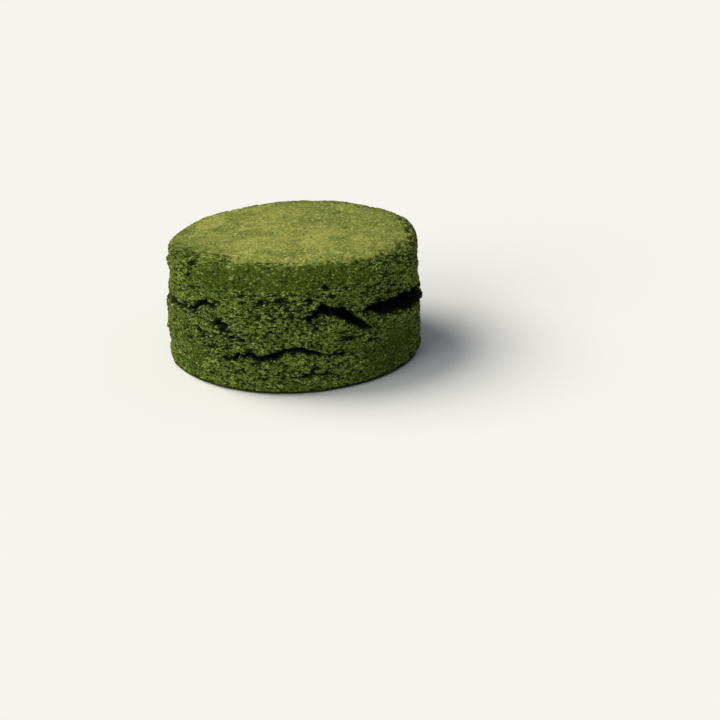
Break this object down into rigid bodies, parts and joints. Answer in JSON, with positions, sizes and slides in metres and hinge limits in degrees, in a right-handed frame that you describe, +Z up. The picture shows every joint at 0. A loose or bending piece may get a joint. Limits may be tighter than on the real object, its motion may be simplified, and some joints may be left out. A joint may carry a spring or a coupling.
{
  "type": "scone",
  "caption": "Round green tea scone: a low drum of baked dough with a slightly domed top, a sunken front shoulder, layered crumbly side and open cracks.",
  "frame": {"origin": "centre of the flat underside, where the scone stands", "axes": "+Z up out of the top, -Y towards the side with the long low crack, +X to that side's right"},
  "size_m": [0.0602, 0.061, 0.0279],
  "materials": {
    "baked_crumb": "matte"
  },
  "bodies": {
    "root": {"scone": "baked_crumb"}
  },
  "joints": []
}
